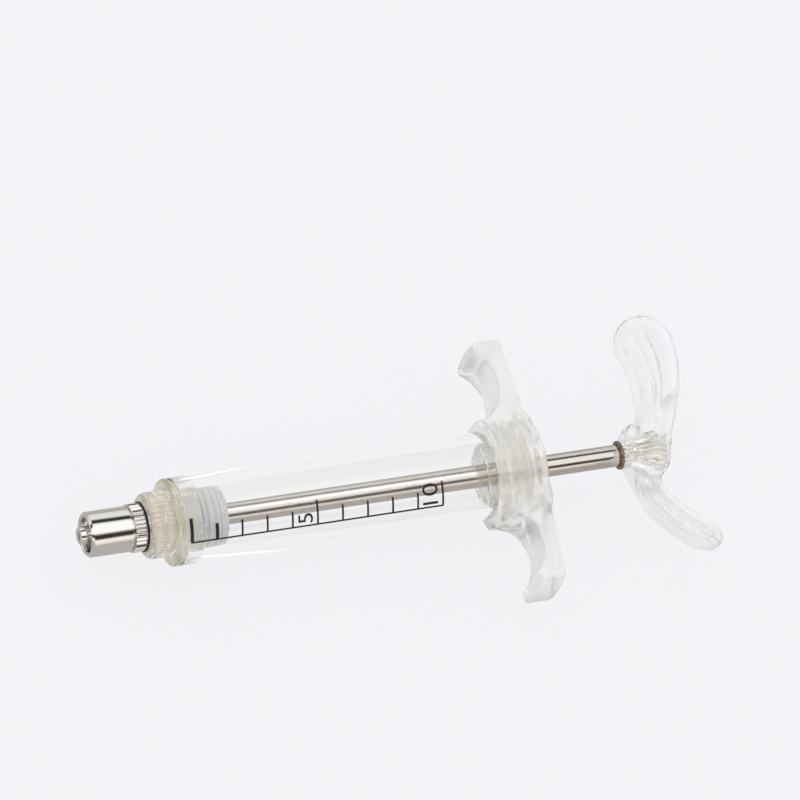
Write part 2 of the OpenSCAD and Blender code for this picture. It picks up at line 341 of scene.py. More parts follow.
def clear(name, dark, light, rough, ior, through, rim=None, haze=None, core=None):
    """Clear or translucent moulding: slight tint, flow marks and light let through to the floor.

    rim, haze and core each give two distances from the axis. Between them the colour fades into
    the rim's, the haze's roughness is added, and the share of light let through goes from the
    core's to the outer one.
    """
    n = Nodes(name)
    shader = n.add("ShaderNodeBsdfPrincipled")
    shader.inputs["Transmission Weight"].default_value = through
    shader.inputs["IOR"].default_value = ior
    flow = n.noise(60, (0.5, 1, 1), 2.0)
    fine = n.noise(700, (1, 1, 1), 2.0)
    colour = n.tint(flow, "Fac", dark, light)
    surface = n.tint_out(colour)
    if rim:
        surface = n.rim_tint(surface, *rim)
    n.tree.links.new(surface, shader.inputs["Base Color"])
    skin = n.ramp(fine, "Fac", rough[0], rough[1])
    if haze:
        hazy = n.add("ShaderNodeMath", operation="ADD")
        added = n.outwards(haze[0], haze[1], 0.0, haze[2])
        n.tree.links.new(skin.outputs["Result"], hazy.inputs[0])
        n.tree.links.new(added.outputs["Result"], hazy.inputs[1])
        n.join(hazy, "Value", shader, "Roughness")
    else:
        n.join(skin, "Result", shader, "Roughness")
    if core:
        passed = n.outwards(core[0], core[1], core[2], through)
        n.join(passed, "Result", shader, "Transmission Weight")
    n.join(n.bump(flow, "Fac", MARK_HEIGHT, 0.5), "Normal", shader, "Normal")
    passing = n.add("ShaderNodeBsdfTransparent")
    cast = [SHADOW_SHARE * c + (1 - SHADOW_SHARE) * 0.5 for c in light]
    passing.inputs["Color"].default_value = (*cast, 1)
    mix = n.add("ShaderNodeMixShader")
    path = n.add("ShaderNodeLightPath")
    n.join(n.ramp(path, "Is Shadow Ray", 0.0, SHADOW_SHARE), "Result", mix, "Fac")
    n.tree.links.new(shader.outputs[0], mix.inputs[1])
    n.tree.links.new(passing.outputs[0], mix.inputs[2])
    n.join(mix, "Shader", n.out, "Surface")
    return n.material


def rubber(name, dark, light, rough, see=0.0):
    """Moulded rubber or silicone with a dull, slightly mottled skin."""
    n = Nodes(name)
    shader = n.add("ShaderNodeBsdfPrincipled")
    shader.inputs["Transmission Weight"].default_value = see
    shader.inputs["IOR"].default_value = 1.42
    mottle = n.noise(400, (1, 1, 1), 4.0)
    colour = n.tint(mottle, "Fac", dark, light)
    n.tree.links.new(n.tint_out(colour), shader.inputs["Base Color"])
    n.join(n.ramp(mottle, "Fac", rough[0], rough[1]), "Result", shader, "Roughness")
    n.join(n.bump(mottle, "Fac", 0.00001, 0.5), "Normal", shader, "Normal")
    n.join(shader, "BSDF", n.out, "Surface")
    return n.material


CHROME = metal("chrome", (0.74, 0.73, 0.73), (0.88, 0.87, 0.86), (0.07, 0.15), (6, 1, 1))
STEEL = metal("drawn_steel", (0.56, 0.54, 0.52), (0.78, 0.75, 0.72), (0.12, 0.20), (0.4, 6, 6))
BRASS = metal("machined_brass", (0.66, 0.57, 0.46), (0.93, 0.86, 0.75), (0.18, 0.34), (4, 1, 1))
PLATED = metal("plated_brass", (0.62, 0.58, 0.53), (0.95, 0.92, 0.87), (0.12, 0.26), (4, 1, 1))
# The ferrule's brass is painted dark: painted shade of the gap where the rod enters the handle's
# mouth
FERRULE_BRASS_PAINTED_SHADE = metal("ferrule_brass_painted_shade", (0.10, 0.075, 0.05), (0.44, 0.35, 0.24), (0.20, 0.34), (4, 1, 1))
WASHER = metal("pressed_steel", (0.66, 0.65, 0.64), (0.82, 0.81, 0.80), (0.18, 0.30), (1, 1, 1))
# The barrel's skin is smooth enough to count as a perfect mirror, which mirrored_in_metal relies on
BARREL = clear("barrel_clear", (0.982, 0.982, 0.97), (0.996, 0.996, 0.988), (0.0, 0.003), 1.46, 1.0)
MOULDED = clear("moulded_clear", (0.94, 0.955, 0.995), (1.0, 0.982, 0.93), (0.02, 0.06), 1.40, 0.76,
                haze=(0.0055, 0.0095, 0.16), core=(0.0050, 0.0080, 0.95))
MILKY = clear("moulded_milky", (0.87, 0.915, 1.0), (1.0, 0.955, 0.85), (0.03, 0.09), 1.36, 0.73,
              haze=(0.0120, 0.0150, 0.16), core=(0.0095, 0.0106, 0.97))
CREAM = clear("cap_cream", (0.965, 0.955, 0.89), (0.99, 0.985, 0.94), (0.06, 0.14), 1.42, 0.80,
              rim=(0.0088, 0.0100, (0.94, 0.86, 0.66)))
PISTON = clear("piston_grey", (0.90, 0.91, 0.90), (0.98, 0.99, 0.98), (0.15, 0.35), 1.34, 0.35)
GASKET = rubber("black_rubber", (0.012, 0.012, 0.012), (0.03, 0.03, 0.03), (0.45, 0.65))
SILICONE = rubber("silicone", (0.90, 0.90, 0.87), (0.97, 0.97, 0.94), (0.30, 0.50), 0.3)
INK = rubber("black_ink", (0.006, 0.006, 0.006), (0.02, 0.02, 0.02), (0.35, 0.55))


# ---------------------------------------------------------------- front end

SHANK_R, SHANK_BORE_R, SHANK_CORE_R, PASSAGE_R = 2.98, 3.0, 1.5, 0.9
LUER_TIP_R, LUER_ROOT_R, SEAT_R = 1.975, 2.25, 3.95
SHANK_PITCH, LUER_PITCH, LUER_STARTS = 1.0, 2.5, 2
NOZZLE_FLUTES, CAP_INSERT_FLUTES, STEPS_A_FLUTE = 32, 28, 6
COUNTERBORE_R = 7.75


def make_nozzle():
    """Nozzle: luer cone with its passage, seat, knurled ring and threaded shank."""
    x0, x1, knurl_r = span("nozzle")
    _, collar_end, _ = span("lock_collar")
    gasket_x, _, _ = span("nozzle_gasket")
    _, washer_end, _ = span("nozzle_washer")
    knurl_x = collar_end + 0.3
    seat_x, core_x, passage_x = collar_end - 2.4, collar_end - 2.0, collar_end - 3.0
    outline = rounded([
        (x0, PASSAGE_R, 0.15), (x0, LUER_TIP_R, 0.25), (seat_x, LUER_ROOT_R, 0.3),
        (seat_x, SEAT_R, 0.2), (collar_end, SEAT_R, 0), (collar_end, knurl_r - 0.9, 0.05),
        (knurl_x, knurl_r - 0.9, 0.1), (knurl_x, knurl_r, 0.25), (gasket_x, knurl_r, 0.25),
        (gasket_x, SHANK_R, 0.1), (x1, SHANK_R, 0.4), (x1, SHANK_CORE_R, 0.1),
        (core_x, SHANK_CORE_R, 0.3), (passage_x, PASSAGE_R, 0.2),
    ])
    outline = fill_line(outline, SHANK_R, 0.16)
    outline = fill_line(outline, knurl_r, 0.2)
    knurl = flutes(knurl_x + 0.05, gasket_x - 0.05, 0.4, NOZZLE_FLUTES, knurl_r)
    thread = helix(washer_end, x1 - 0.3, SHANK_PITCH, -0.35, SHANK_R)
    verts, faces = lathe(outline, NOZZLE_FLUTES * STEPS_A_FLUTE,
                         lambda x, r, a: knurl(x, r, a) + thread(x, r, a))
    piece("nozzle_body", verts, faces, CHROME, "front_cap", ["nozzle"])


def make_collar():
    """Lock collar: chamfered sleeve with a double-start luer-lock thread inside."""
    x0, x1, outer = span("lock_collar")
    inner = 4.0
    outline = rounded([
        (x0, inner + 0.25, 0.15), (x0, outer - 0.55, 0.25), (x0 + 0.6, outer, 0.35),
        (x1, outer, 0.3), (x1, inner, 0), (x0 + 0.3, inner, 0.05),
    ])
    outline = fill_line(outline, inner, 0.2)
    thread = helix(x0 + 0.5, x1 - 2.6, LUER_PITCH, -0.5, inner, LUER_STARTS)
    verts, faces = lathe(outline, SIDES, thread)
    piece("luer_collar", verts, faces, CHROME, "front_cap", ["lock_collar"])


def make_front_rings():
    """Black gasket and metal washer under the knurled ring."""
    x0, x1, outer = span("nozzle_gasket")
    verts, faces = lathe(ring(x0, x1, outer, SHANK_BORE_R, 0.22))
    piece("gasket_ring", verts, faces, GASKET, "front_cap", ["nozzle_gasket"])
    x0, x1, outer = span("nozzle_washer")
    verts, faces = lathe(ring(x0 + NUDGE / 2, x1 - NUDGE / 2, outer, 3.05, 0.12))
    piece("cap_washer", verts, faces, WASHER, "front_cap", ["nozzle_washer"])


def make_front_cap():
    """Front cap: boss, flange and hollow plug, with its knurled brass insert."""
    x0, x1, flange_r = span("front_cap")
    seal_x, _, _ = span("front_seal")
    flange_x = x0 + 5.7
    boss_r, plug_r, cup_r = 7.55, 7.65, 6.0
    _, insert_x, insert_r = span("cap_insert")
    outline = rounded([
        (x0, insert_r - 0.2, 0), (x0, boss_r, 1.3), (flange_x, boss_r, 0.35),
        (flange_x, flange_r, 0.45), (seal_x, flange_r, 0.3), (seal_x, plug_r, 0.1),
        (x1, plug_r, 0.3), (x1, cup_r, 0.2), (seal_x + 0.3, cup_r, 0.5),
        (seal_x + 0.3, SHANK_BORE_R, 0.1), (insert_x, SHANK_BORE_R, 0),
        (insert_x, insert_r - 0.2, 0),
    ])
    verts, faces = lathe(outline)
    piece("front_cap_body", verts, faces, CREAM, "front_cap", ["front_cap"])
    groove = (x0 + insert_x) / 2 + 0.8
    groove_x0, groove_x1, groove_r = groove - 0.4, groove + 0.4, insert_r - 0.7
    outline = rounded([
        (x0 + NUDGE, SHANK_BORE_R, 0), (x0 + NUDGE, insert_r, 0.25), (groove_x0, insert_r, 0.15),
        (groove_x0, groove_r, 0.1), (groove_x1, groove_r, 0.1), (groove_x1, insert_r, 0.15),
        (insert_x - NUDGE, insert_r, 0.25), (insert_x - NUDGE, SHANK_BORE_R, 0),
    ], 3)
    knurl = flutes(x0, insert_x, 0.4, CAP_INSERT_FLUTES, insert_r)
    verts, faces = lathe(outline, CAP_INSERT_FLUTES * STEPS_A_FLUTE, knurl)
    piece("cap_insert_knurl", verts, faces, BRASS, "front_cap", ["cap_insert"])
    x0, x1, outer = span("front_seal")
    verts, faces = lathe(ring(x0 + NUDGE / 2, x1 - NUDGE / 2, outer, COUNTERBORE_R, 0.15))
    piece("front_seal_ring", verts, faces, SILICONE, "front_seal", ["front_seal"])


# ---------------------------------------------------------------- barrel and its printed scale

BORE_R = span("piston_seal")[2] + 0.05


def make_barrel():
    """Clear barrel: polished tube, counterbored at the front and turned down at the rear."""
    x0, x1, outer = span("barrel")
    _, plug_end, _ = span("front_cap")
    skirt_x, step_x, rear_r = x1 - 7.8, plug_end + 0.3, outer - 0.2
    outline = rounded([
        (x0, COUNTERBORE_R, 0.15), (x0, outer, 0.3), (skirt_x, outer, 0.25), (skirt_x, rear_r, 0.1),
        (x1, rear_r, 0.4), (x1, BORE_R, 0.2), (step_x, BORE_R, 0.15), (step_x, COUNTERBORE_R, 0.1),
    ])
    verts, faces = lathe(outline, 144)
    piece("barrel_tube", verts, faces, BARREL, "barrel", ["barrel"])


SCALE_START = span("barrel")[0] + 0.8
SCALE_LENGTH, MARKS, LONG_EVERY = 60.4, 10, 5
BASELINE_DEG, SHORT_DEG, LONG_DEG = 53.5, 31.5, 20.7
LINE_HALF_W = 0.21
INK_R, INK_THICK = span("barrel")[2] + 0.015, 0.03


def ink_patch(x0, x1, deg0, deg1):
    """A thin closed patch of ink on the barrel; angles run from +Z towards -Y."""
    steps = max(2, int(abs(deg1 - deg0) / 2))
    verts, faces = [], []
    for k in range(steps + 1):
        a = math.radians(deg0 + (deg1 - deg0) * k / steps)
        for r in (INK_R, INK_R + INK_THICK):
            for x in (x0, x1):
                verts.append((x, -r * math.sin(a), r * math.cos(a)))
    for k in range(steps):
        b, n = 4 * k, 4 * k + 4
        faces += [(b, b + 1, n + 1, n), (b + 2, n + 2, n + 3, b + 3),
                  (b, n, n + 2, b + 2), (b + 1, b + 3, n + 3, n + 1)]
    last = 4 * steps
    faces += [(0, 2, 3, 1), (last, last + 1, last + 3, last + 2)]
    return verts, faces


def join_meshes(parts):
    """One vertex and face list from several."""
    verts, faces = [], []
    for v, f in parts:
        base = len(verts)
        verts += list(v)
        faces += [tuple(i + base for i in face) for face in f]
    return verts, faces


def make_scale():
    """Printed scale: a baseline and eleven marks, long at 0, 5 and 10, the first two heavier."""
    step = SCALE_LENGTH / MARKS
    half_deg = math.degrees(LINE_HALF_W / INK_R)
    end = SCALE_START + SCALE_LENGTH
    parts = [ink_patch(SCALE_START - LINE_HALF_W, end + LINE_HALF_W,
                       BASELINE_DEG + half_deg, BASELINE_DEG - half_deg)]
    for i in range(MARKS + 1):
        x = SCALE_START + i * step
        top = LONG_DEG if i % LONG_EVERY == 0 else SHORT_DEG
        half = LINE_HALF_W * (1.9 if i < 2 else 1.1)
        parts.append(ink_patch(x - half, x + half, BASELINE_DEG - half_deg, top))
    verts, faces = join_meshes(parts)
    piece("scale_lines", verts, faces, INK, "barrel", sharp_deg=30)


def make_numeral(name, text, x_foot, deg, height, width):
    """A printed number: its foot is at station x_foot, its top towards the nozzle, and it reads
    from the baseline upwards."""
    curve = bpy.data.curves.new(name, "FONT")
    curve.body = text
    curve.extrude = 0.5
    curve.resolution_u = 6
    shape = bpy.data.objects.new(name, curve)
    bpy.context.scene.collection.objects.link(shape)
    graph = bpy.context.evaluated_depsgraph_get()
    flat = bpy.data.meshes.new_from_object(shape.evaluated_get(graph))
    bpy.data.objects.remove(shape)
    points = np.array([v.co for v in flat.vertices])
    low, high = points.min(0), points.max(0)
    along = (points[:, 0] - low[0]) / (high[0] - low[0]) - 0.5
    up = (points[:, 1] - low[1]) / (high[1] - low[1])
    x = x_foot - up * height
    angle = math.radians(deg) - along * width / INK_R
    r = INK_R + INK_THICK * (points[:, 2] > 0)
    verts = np.stack([x, -r * np.sin(angle), r * np.cos(angle)], -1)
    faces = [tuple(p.vertices) for p in flat.polygons]
    bpy.data.meshes.remove(flat)
    return list(map(tuple, verts)), faces


def make_numerals():
    """The 5 and the 10, each just on the nozzle side of its mark."""
    step, gap = SCALE_LENGTH / MARKS, 1.2
    five = make_numeral("five", "5", SCALE_START + 5 * step - gap, 43.0, 3.5, 2.3)
    ten = make_numeral("ten", "10", SCALE_START + 10 * step - gap, 35.5, 3.7, 4.9)
    verts, faces = join_meshes([five, ten])
    piece("scale_numerals", verts, faces, INK, "barrel", smooth=False)


# ---------------------------------------------------------------- grip cap and guide

RIBS, RIB_PITCH, RIB_R = 5, 2.0, 0.8
GRIP_R = 11.25
BARREL_HOLE_R, CUP_R, GUIDE_HOLE_R, ROD_HOLE_R = 9.9, 6.0, 4.0, 2.8


def make_grip():
    """Ribbed grip cap with its two finger wings, blended into one moulding."""
    plug_x, end, _ = span("grip_cap")
    grip_x = plug_x + 1.4
    _, wall_x, _ = span("rear_seal")
    guide_x, _, _ = span("guide_seal")
    wing_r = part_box("grip_cap")[1][1] / MM
    finger_x, finger_y, finger_r = grip_x - 3.1, 19.6, 10.4

    def wings(x, y, z):
        """Both wings, for y without its sign, with the finger rests cut out of their fronts."""
        back = x - (end - 1.9 * (y - 11) / (wing_r - 11))
        tip = np.hypot(y, z) - wing_r
        side = np.abs(z) - (5.5 + 2.0 * np.clip((y - 8) / (wing_r - 7), 0, 1))
        finger = finger_r - np.hypot(x - finger_x, y - finger_y)
        front = np.where(y < finger_y, grip_x + 0.6, finger_x + 6.8) - x
        body = smooth_max(smooth_max(back, side, 0.9), tip, 0.7)
        return smooth_max(body, np.maximum(finger, front), 1.2)

    def field(p):
        x, y, z = p[:, 0], np.abs(p[:, 1]), p[:, 2]
        r = np.hypot(y, z)
        skirt = turned_bar(x, r, grip_x, end, GRIP_R, 0.7)
        for i in range(RIBS):
            rib = np.hypot(x - grip_x - 1 - i * RIB_PITCH, r - GRIP_R + 0.1) - RIB_R
            skirt = smooth_min(skirt, rib, 0.35)
        body = smooth_min(skirt, wings(x, y, z), 3.2)
        body = np.maximum(body, grip_x - x)
        plug = turned_bar(x, r, plug_x, end - 1, BORE_R - 0.15, 0.3)
        slot = np.maximum(np.maximum(x - wall_x, r - BARREL_HOLE_R), BORE_R - 0.15 - r)
        body = np.minimum(np.maximum(body, -slot), plug)
        body = np.maximum(body, -np.maximum(guide_x - x, r - GUIDE_HOLE_R))
        body = np.maximum(body, -np.maximum(r - CUP_R, x - guide_x + 1.3))
        return np.maximum(body, ROD_HOLE_R - r)

    low, high = (plug_x - 1, -wing_r - 1, -13.5), (end + 1, wing_r + 1, 13.5)
    verts, faces = moulded(field, low, high, 0.3)
    piece("grip_body", verts, faces, MILKY, "grip", ["grip_cap"], sharp_deg=50)


def make_rear_parts():
    """Rear seal, guide bush and wiper ring."""
    x0, x1, outer = span("rear_seal")
    verts, faces = lathe(ring(x0 + NUDGE / 2, x1 - NUDGE / 2, outer, BORE_R + 0.15, 0.15))
    piece("rear_seal_ring", verts, faces, SILICONE, "rear_seal", ["rear_seal"])
    x0, x1, outer = span("rod_guide")
    verts, faces = lathe(ring(x0 + NUDGE, x1, outer - 0.03, 2.55, 0.3))
    piece("guide_bush", verts, faces, MILKY, "grip", ["rod_guide"])
    x0, x1, outer = span("guide_seal")
    verts, faces = lathe(ring(x0 + NUDGE, x1, outer - 0.03, 2.56, 0.5))
    piece("guide_wiper", verts, faces, MILKY, "grip", ["guide_seal"])


# ---------------------------------------------------------------- plunger

ROD_END_R, ROD_END_HOLE_R, ROD_PITCH = 1.98, 2.02, 0.7
PISTON_CORE_R, PISTON_NOSE_R = 4.5, 5.7
NUT_R = 4.0
HANDLE_INSERT_FLUTES = 20


def make_piston():
    """Piston: nosed front plate, seal ring, rear plate and the nut that clamps them."""
    x0, x1, plate_r = span("piston_front")
    seal_x, seal_end, seal_r = span("piston_seal")
    nut_x, nut_end, _ = span("piston_nut")
    nose_x, plate_x, core_r = seal_x - 1.05, seal_x - 0.05, PISTON_CORE_R - 0.05
    outline = rounded([
        (x0, PISTON_CORE_R, 0.3), (x0, PISTON_NOSE_R, 0.8), (nose_x, PISTON_NOSE_R, 0.2),
        (nose_x, plate_r, 0.3), (plate_x, plate_r, 0.2), (plate_x, core_r, 0.1),
        (x1, core_r, 0), (x1, ROD_END_HOLE_R, 0), (nut_end, ROD_END_HOLE_R, 0.1),
        (nut_end, PISTON_CORE_R, 0.2),
    ])
    verts, faces = lathe(outline)
    piece("piston_front_body", verts, faces, PISTON, "plunger", ["piston_front"])
    middle = (seal_x + seal_end) / 2
    outline = rounded([
        (seal_x, PISTON_CORE_R, 0), (seal_x, seal_r, 0.5), (middle - 0.35, seal_r, 0.25),
        (middle, seal_r - 0.5, 0.2), (middle + 0.35, seal_r, 0.25), (seal_end, seal_r, 0.5),
        (seal_end, PISTON_CORE_R, 0),
    ])
    verts, faces = lathe(outline)
    piece("piston_seal_ring", verts, faces, SILICONE, "piston_seal", ["piston_seal"])
    x0, x1, outer = span("piston_rear")
    rod_hole_r = 2.52
    outline = rounded([
        (x0, rod_hole_r, 0), (x0, outer, 0.25), (x1 - 0.6, outer, 0.3), (x1, outer - 0.8, 0.4),
        (x1, rod_hole_r, 0.1),
    ])
    verts, faces = lathe(outline)
    piece("piston_rear_body", verts, faces, PISTON, "plunger", ["piston_rear"])
    apothem = NUT_R * math.cos(math.pi / 6)

    def hexagon(x, r, a):
        """Relief that flattens the nut's outside into six sides and leaves its hole round."""
        if r < 2.6:
            return 0.0
        return min(r, apothem / math.cos((a + math.pi / 6) % (math.pi / 3) - math.pi / 6)) - r

    outline = rounded([
        (nut_x, ROD_END_HOLE_R, 0.1), (nut_x, 3.9, 0.3), (nut_end, 3.9, 0.3),
        (nut_end, ROD_END_HOLE_R, 0.1),
    ])
    verts, faces = lathe(outline, SIDES, hexagon)
    piece("piston_lock_nut", verts, faces, STEEL, "plunger", ["piston_nut"])


def make_rod():
    """Steel rod with turned-down ends, the front one threaded, and the ferrule at the handle."""
    x0, x1, rod_r = span("plunger_rod")
    rear_x, _, _ = span("piston_rear")
    ferrule_x, handle_x, ferrule_r = span("rod_ferrule")
    axis_r = 0.001
    outline = rounded([
        (x0, axis_r, 0), (x0, ROD_END_R, 0.3), (rear_x, ROD_END_R, 0.05), (rear_x, rod_r, 0.1),
        (handle_x, rod_r, 0.1), (handle_x, ROD_END_R, 0.05), (x1, ROD_END_R, 0.3), (x1, axis_r, 0),
    ])
    outline = fill_line(outline, ROD_END_R, 0.12)
    thread = helix(x0 + 0.2, rear_x - 0.2, ROD_PITCH, -0.28, ROD_END_R)
    verts, faces = lathe(outline, SIDES, thread)
    piece("rod", verts, faces, STEEL, "plunger", ["plunger_rod"])
    outline = ring(ferrule_x + 0.25, handle_x + NUDGE, ferrule_r, rod_r + NUDGE, 0.2)
    verts, faces = lathe(outline)
    # The ferrule's dark brass is painted shade of the gap at the handle's mouth
    piece("ferrule", verts, faces, FERRULE_BRASS_PAINTED_SHADE, "plunger", ["rod_ferrule"])


def make_handle_insert():
    """Knurled brass insert in the handle's hub, with a groove near its mouth."""
    x0, x1, outer = span("handle_insert")
    groove_r = outer - 0.6
    outline = rounded([
        (x0 + NUDGE, ROD_END_HOLE_R, 0), (x0 + NUDGE, outer, 0.2), (x0 + 1.6, outer, 0.2),
        (x0 + 1.8, groove_r, 0.1), (x0 + 2.6, groove_r, 0.1), (x0 + 2.8, outer, 0.2),
        (x1, outer, 0.3), (x1, ROD_END_HOLE_R, 0),
    ], 3)
    knurl = flutes(x0, x1, 0.42, HANDLE_INSERT_FLUTES, outer)
    verts, faces = lathe(outline, HANDLE_INSERT_FLUTES * STEPS_A_FLUTE, knurl)
    piece("handle_insert_knurl", verts, faces, PLATED, "plunger", ["handle_insert"])


# A lobe's middle line runs out from the hub's axis as u goes from 0 to round_at. There it is
# reach * u to the lobe's side, rise * u squared upwards, and sweep, a cubic in u, along the axis.
# Its sections are turned by twist, in degrees (at the root, and its growth with u), and are half_w
# plus spread * u wide on each side. An end of the length end closes them, rounded.
UPPER_LOBE = dict(
    side=1, reach=29.8, rise=6.0, sweep=(7.3, 15.1, -3.9, -10.4), twist=(17.4, 6.6),
    half_w=7.0, spread=1.9, round_at=0.80, end=7.2,
)
LOWER_LOBE = dict(
    side=-1, reach=26.1, rise=3.0, sweep=(4.2, -7.2, 20.4, -1.1), twist=(-36.0, -31.0),
    half_w=7.6, spread=0.7, round_at=0.84, end=6.2,
)
LOBE_HALF_T = 2.9
DISH_START, DISH_WIDTH, DISH_DEPTH = 0.16, 0.76, 0.62
STREAKS = ((-0.22, 0.9, 0.45), (0.16, 0.7, 0.35))   # low ridges in the dish: place, width, height
BATCH = 50000                                       # points measured against the path at a time


def lobe_field(p, hub_x, side, reach, rise, sweep, twist, half_w, spread, round_at, end):
    """Field of one lobe: flattened sections along a swept path, closed by a rounded end."""
    def path_at(u):
        return np.stack([hub_x + sweep[0] + sweep[1] * u + sweep[2] * u ** 2 + sweep[3] * u ** 3,
                         side * reach * u, rise * u ** 2], -1)

    u = np.linspace(0.0, round_at, 48)
    path = path_at(u)
    nearest = np.empty(len(p), int)
    for s in range(0, len(p), BATCH):
        gap = ((p[s:s + BATCH, None] - path[None]) ** 2).sum(-1)
        nearest[s:s + BATCH] = gap.argmin(1)
    along = np.gradient(path, u, axis=0)
    length = np.linalg.norm(along, axis=1)
    along /= length[:, None]
    offset = ((p - path[nearest]) * along[nearest]).sum(1)
    exact = np.clip(u[nearest] + offset / length[nearest], 0, round_at)
    exact = np.where(np.abs(exact - u[nearest]) < 1.5 * u[1], exact, u[nearest])
    centre = path_at(exact)
    t = np.stack([sweep[1] + 2 * sweep[2] * exact + 3 * sweep[3] * exact ** 2,
                  np.full(len(p), side * reach), 2 * rise * exact], -1)
    t /= np.linalg.norm(t, axis=1)[:, None]
    turn = np.radians(twist[0] + twist[1] * exact)
    lean = np.stack([np.sin(turn), np.zeros(len(p)), np.cos(turn)], -1)
    wide = lean - (lean * t).sum(1)[:, None] * t
    wide /= np.linalg.norm(wide, axis=1)[:, None]
    thick = np.cross(t, wide)
    d = p - centre
    a = half_w + spread * exact
    q = np.stack([(d * wide).sum(1), (d * thick).sum(1), (d * t).sum(1)], -1)
    inward = np.clip((exact - DISH_START) / 0.25, 0, 1) ** 2
    middle = (q[:, 0] / (DISH_WIDTH * a)) ** 2 + (q[:, 2] / (DISH_WIDTH * end)) ** 2
    b = LOBE_HALF_T * (1 - DISH_DEPTH * inward * np.exp(-middle ** 4))
    for at, width, height in STREAKS:
        b = b + height * inward * np.exp(-((q[:, 0] - at * a) / width) ** 2 - middle ** 4)
    size = np.stack([a, b, np.full(len(p), end)], -1)
    k0 = np.linalg.norm(q / size, axis=1)
    k1 = np.linalg.norm(q / size ** 2, axis=1)
    return k0 * (k0 - 1) / np.maximum(k1, 1e-6)


def make_handle():
    """Palm handle: a turned hub with two lobes grown out of it, in one clear moulding."""
    hub_x, hub_end, _ = span("handle_hub")
    _, insert_end, insert_r = span("handle_insert")

    def field(p):
        x, r = p[:, 0], np.hypot(p[:, 1], p[:, 2])
        flare = np.clip((x - hub_x) / 7, 0, 1)
        body = turned_bar(x, r, hub_x, hub_end - 0.3, 4.1 + 1.6 * flare, 2.0)
        for lobe in (UPPER_LOBE, LOWER_LOBE):
            body = smooth_min(body, lobe_field(p, hub_x, **lobe), 2.2)
        body = np.maximum(body, hub_x - x)
        bore = np.maximum(r - insert_r + 0.15, x - insert_end)
        return np.maximum(body, -bore)

    boxes = [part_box(n) for n in ("handle_hub", "upper_lobe", "lower_lobe")]
    low = [min(box[0][i] for box in boxes) / MM - 1.5 for i in range(3)]
    high = [max(box[1][i] for box in boxes) / MM + 1.5 for i in range(3)]
    verts, faces = moulded(field, low, high, 0.45)
    piece("palm_handle", verts, faces, MOULDED, "plunger",
          ["handle_hub", "upper_lobe", "lower_lobe"], sharp_deg=50)


# ---------------------------------------------------------------- floor, light and camera

FLOOR_GLOW = (0.817, 0.817, 0.845)
FLOOR_SKIN = (0.08, 0.08, 0.08)         # a little plain surface, so that the floor takes shadows
FLOOR_IN_METAL = (0.46, 0.435, 0.405)
FLOOR_HALF, FLOOR_GAP = 1.6, 0.0004
DOME = (0.90, 0.90, 0.925)


def math_node(tree, operation, first, second):
    """Output of a Math node whose inputs are numbers or other nodes' outputs."""
    node = tree.nodes.new("ShaderNodeMath")
    node.operation = operation
    for socket, value in zip(node.inputs, (first, second)):
        if isinstance(value, float):
            socket.default_value = value
        else:
            tree.links.new(value, socket)
    return node.outputs[0]


def mirrored_in_metal(tree):
    """1 for light that a polished part mirrors, seen directly or through both walls of the barrel.

    Light that a clear part's own skin turns back inside it isn't counted, and what a perfect mirror
    shows directly isn't either. Only the barrel's skin is one, so the clear parts stay bright.
    """
    path = tree.nodes.new("ShaderNodeLightPath")
    rough = math_node(tree, "SUBTRACT", 1.0, path.outputs["Is Singular Ray"])
    outside = math_node(tree, "LESS_THAN", path.outputs["Transmission Depth"], 0.5)
    outside = math_node(tree, "MULTIPLY", outside, rough)
    walls = math_node(tree, "GREATER_THAN", path.outputs["Transmission Depth"], 3.5)
    once = math_node(tree, "LESS_THAN", path.outputs["Glossy Depth"], 1.5)
    seen = math_node(tree, "MAXIMUM", outside, math_node(tree, "MULTIPLY", walls, once))
    mirrored = math_node(tree, "MINIMUM", path.outputs["Glossy Depth"], 1.0)
    return math_node(tree, "MULTIPLY", mirrored, seen)


def make_floor():
    """Plain pale light table just under the syringe. Polished parts mirror it darker, as they would
    between dark cards; the clear parts show it at full brightness."""
    n = Nodes("pale_floor")
    skin = n.add("ShaderNodeBsdfDiffuse")
    cloud = n.noise(3, (1, 1, 1), 2.0)
    colour = n.tint(cloud, "Fac", [0.96 * c for c in FLOOR_SKIN], FLOOR_SKIN)
    n.tree.links.new(n.tint_out(colour), skin.inputs["Color"])
    glow = n.add("ShaderNodeEmission")
    glow.inputs["Color"].default_value = (*FLOOR_GLOW, 1)
    mirrored = n.add("ShaderNodeEmission")
    mirrored.inputs["Color"].default_value = (*FLOOR_IN_METAL, 1)
    pick = n.add("ShaderNodeMixShader")
    n.tree.links.new(mirrored_in_metal(n.tree), pick.inputs[0])
    n.tree.links.new(glow.outputs[0], pick.inputs[1])
    n.tree.links.new(mirrored.outputs[0], pick.inputs[2])
    both = n.add("ShaderNodeAddShader")
    n.tree.links.new(skin.outputs[0], both.inputs[0])
    n.tree.links.new(pick.outputs[0], both.inputs[1])
    n.join(both, "Shader", n.out, "Surface")
    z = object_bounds()[0][2] - FLOOR_GAP
    corners = [(x * FLOOR_HALF, y * FLOOR_HALF, z) for x, y in ((-1, -1), (1, -1), (1, 1), (-1, 1))]
    mesh = bpy.data.meshes.new("floor")
    mesh.from_pydata(corners, [], [(0, 1, 2, 3)])
    mesh.materials.append(n.material)
    floor = bpy.data.objects.new("floor", mesh)
    bpy.context.scene.collection.objects.link(floor)


